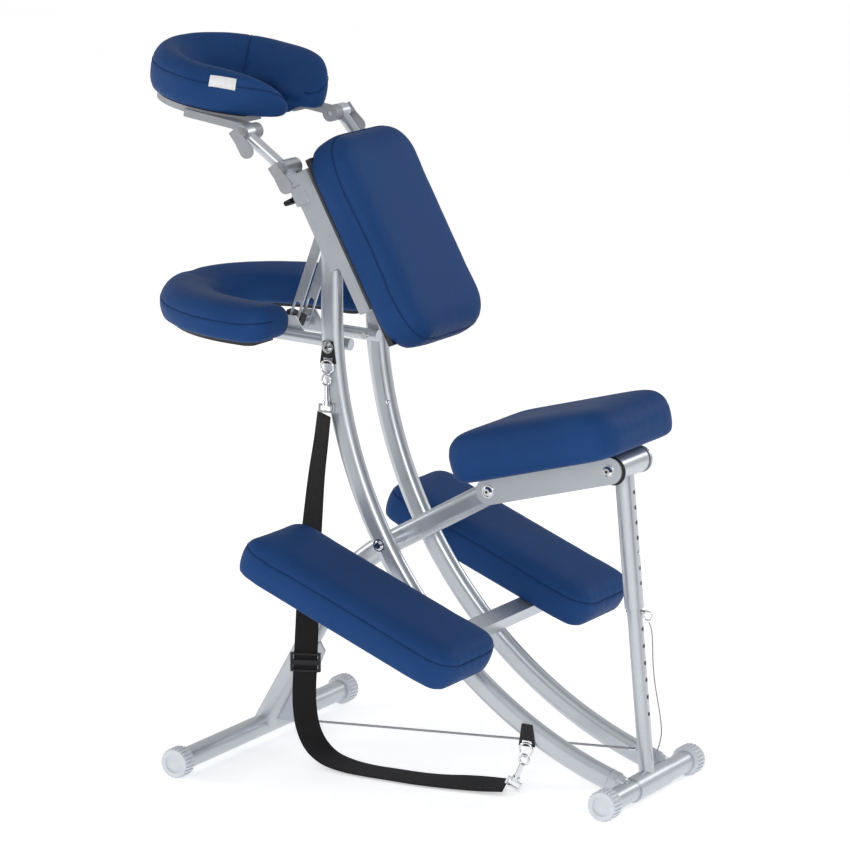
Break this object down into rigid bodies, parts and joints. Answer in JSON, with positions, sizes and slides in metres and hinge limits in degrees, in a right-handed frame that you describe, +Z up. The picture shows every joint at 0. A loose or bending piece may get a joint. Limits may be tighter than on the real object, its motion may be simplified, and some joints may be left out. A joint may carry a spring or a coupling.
{
  "type": "kneeling massage chair",
  "caption": "Folding kneeling massage chair with curved twin frame, pinned height strut, padded seat, knee, chest and arm rests and a tilting ring face cradle.",
  "frame": {"origin": "on the floor under the middle of the chair's box, without the loose strap and lanyard", "axes": "+X to the sitter's left, +Y to the rear behind the seat, +Z up"},
  "size_m": [0.624, 0.8925, 1.1339],
  "materials": {
    "frame_paint": "satin silver-grey enamel",
    "board_black": "black painted plywood",
    "plate_grey": "light grey moulded plastic",
    "cap_grey": "light grey ribbed plastic",
    "vinyl_blue": "blue soft upholstery vinyl, satin",
    "black_plastic": "black moulded plastic",
    "chrome": "polished",
    "webbing": "black woven webbing",
    "steel_wire": "bright wire"
  },
  "bodies": {
    "main_frame": {"main_tube_left": "frame_paint", "main_tube_right": "frame_paint", "rear_foot_bar": "frame_paint", "rear_foot_caps": "cap_grey", "knee_supports": "frame_paint", "knee_board_left": "board_black", "knee_board_right": "board_black", "knee_pad_left": "vinyl_blue", "knee_pad_right": "vinyl_blue", "chest_brackets": "frame_paint", "chest_board": "board_black", "chest_pad": "vinyl_blue", "post_sleeves": "frame_paint", "frame_pivot_bolt": "chrome", "arm_pivot_bolts": "chrome", "brace_rod": "frame_paint", "brace_bars": "frame_paint", "strap_brackets": "black_plastic", "strap_rings": "chrome", "strap_hook_upper": "chrome", "strap_hook_lower": "chrome", "strap_slider": "black_plastic", "carry_strap": "webbing"},
    "centre": {"centre_tube": "frame_paint", "front_foot_bar": "frame_paint", "front_foot_caps": "cap_grey", "front_gusset": "frame_paint", "tension_cable": "steel_wire"},
    "seat_pivot": {"seat_pivot_tube": "frame_paint"},
    "seat": {"seat_channel": "frame_paint", "seat_board": "frame_paint", "seat_pad": "vinyl_blue", "seat_bolts": "chrome"},
    "strut_lower": {"strut_inner_tube": "frame_paint", "strut_foot_sleeve": "frame_paint", "pin_lanyard": "steel_wire"},
    "strut_upper": {"strut_outer_tube": "frame_paint", "strut_head_tube": "frame_paint", "strut_bushes": "black_plastic"},
    "pin": {"height_pin": "chrome"},
    "button": {"spring_button": "chrome"},
    "arm_rest": {"arm_tubes": "frame_paint", "arm_board": "board_black", "arm_pad": "vinyl_blue", "arm_bracket": "frame_paint", "arm_knob": "black_plastic"},
    "cradle_posts": {"cradle_posts": "frame_paint"},
    "cradle_links": {"cradle_links": "frame_paint"},
    "cradle": {"cradle_plate": "plate_grey", "face_cushion": "vinyl_blue"},
    "link_lever_left": {"link_lever_left": "plate_grey"},
    "link_lever_right": {"link_lever_right": "plate_grey"},
    "tilt_lever_left": {"tilt_lever_left": "plate_grey"},
    "tilt_lever_right": {"tilt_lever_right": "plate_grey"},
    "sleeve_knob_left": {"sleeve_knob_left": "black_plastic"},
    "sleeve_knob_right": {"sleeve_knob_right": "black_plastic"}
  },
  "joints": [
    {"name": "fold", "type": "hinge", "parent": "main_frame", "child": "centre", "pos_m": [0, -0.0067, 0.366], "axis": [1, 0, 0], "range_deg": [0, 38], "deforming": ["tension_cable"]},
    {"name": "seat_fold", "type": "hinge", "parent": "centre", "child": "seat_pivot", "pos_m": [0, 0.1703, 0.465], "axis": [1, 0, 0], "range_deg": [-67, 0]},
    {"name": "seat_tilt", "type": "hinge", "parent": "seat_pivot", "child": "seat", "pos_m": [0, 0.1703, 0.465], "axis": [1, 0, 0], "range_deg": [0, 13]},
    {"name": "strut_swing", "type": "hinge", "parent": "main_frame", "child": "strut_lower", "pos_m": [0, 0.4223, 0.024], "axis": [1, 0, 0], "range_deg": [0, 10.5]},
    {"name": "height", "type": "slide", "parent": "strut_lower", "child": "strut_upper", "axis": [0, -0.0922, 0.9957], "range_m": [0, 0.047]},
    {"name": "height_pin_pull", "type": "slide", "parent": "strut_lower", "child": "pin", "axis": [0, 0.9957, 0.0922], "range_m": [0, 0.05]},
    {"name": "button_press", "type": "slide", "parent": "strut_upper", "child": "button", "axis": [0, -0.9957, -0.0922], "range_m": [0, 0.003], "stiffness_N_per_m": 200, "springref_m": -0.001},
    {"name": "arm_tilt", "type": "hinge", "parent": "main_frame", "child": "arm_rest", "pos_m": [0, -0.0967, 0.672], "axis": [1, 0, 0], "range_deg": [-15, 0]},
    {"name": "cradle_height", "type": "slide", "parent": "main_frame", "child": "cradle_posts", "axis": [0, -0.4695, 0.8829], "range_m": [0, 0.06]},
    {"name": "cradle_links_tilt", "type": "hinge", "parent": "cradle_posts", "child": "cradle_links", "pos_m": [0, -0.1477, 0.954], "axis": [1, 0, 0], "range_deg": [-4, 20]},
    {"name": "cradle_tilt", "type": "hinge", "parent": "cradle_links", "child": "cradle", "pos_m": [0, -0.2057, 1.007], "axis": [1, 0, 0], "range_deg": [-20, 15]},
    {"name": "link_lever_left_open", "type": "hinge", "parent": "cradle_links", "child": "link_lever_left", "pos_m": [0.1464, -0.1477, 0.954], "axis": [0, -0.788, -0.6157], "range_deg": [0, 80]},
    {"name": "link_lever_right_open", "type": "hinge", "parent": "cradle_links", "child": "link_lever_right", "pos_m": [-0.1464, -0.1477, 0.954], "axis": [0, 0.788, 0.6157], "range_deg": [0, 80]},
    {"name": "tilt_lever_left_open", "type": "hinge", "parent": "cradle_links", "child": "tilt_lever_left", "pos_m": [0.1654, -0.2057, 1.007], "axis": [0, -0.788, -0.6157], "range_deg": [0, 80]},
    {"name": "tilt_lever_right_open", "type": "hinge", "parent": "cradle_links", "child": "tilt_lever_right", "pos_m": [-0.1654, -0.2057, 1.007], "axis": [0, 0.788, 0.6157], "range_deg": [0, 80]},
    {"name": "sleeve_knob_left_turn", "type": "hinge", "parent": "main_frame", "child": "sleeve_knob_left", "pos_m": [0.1, -0.1393, 0.90449], "axis": [0, -0.8829, -0.4695], "continuous": true},
    {"name": "sleeve_knob_right_turn", "type": "hinge", "parent": "main_frame", "child": "sleeve_knob_right", "pos_m": [-0.1, -0.1393, 0.90449], "axis": [0, -0.8829, -0.4695], "continuous": true}
  ],
  "couplings": [
    {"joint": "seat_fold", "follows": "fold", "ratio": -1.74},
    {"joint": "strut_swing", "follows": "fold", "ratio": 0.27},
    {"joint": "seat_tilt", "follows": "height", "rad_per_m": 4.69}
  ]
}
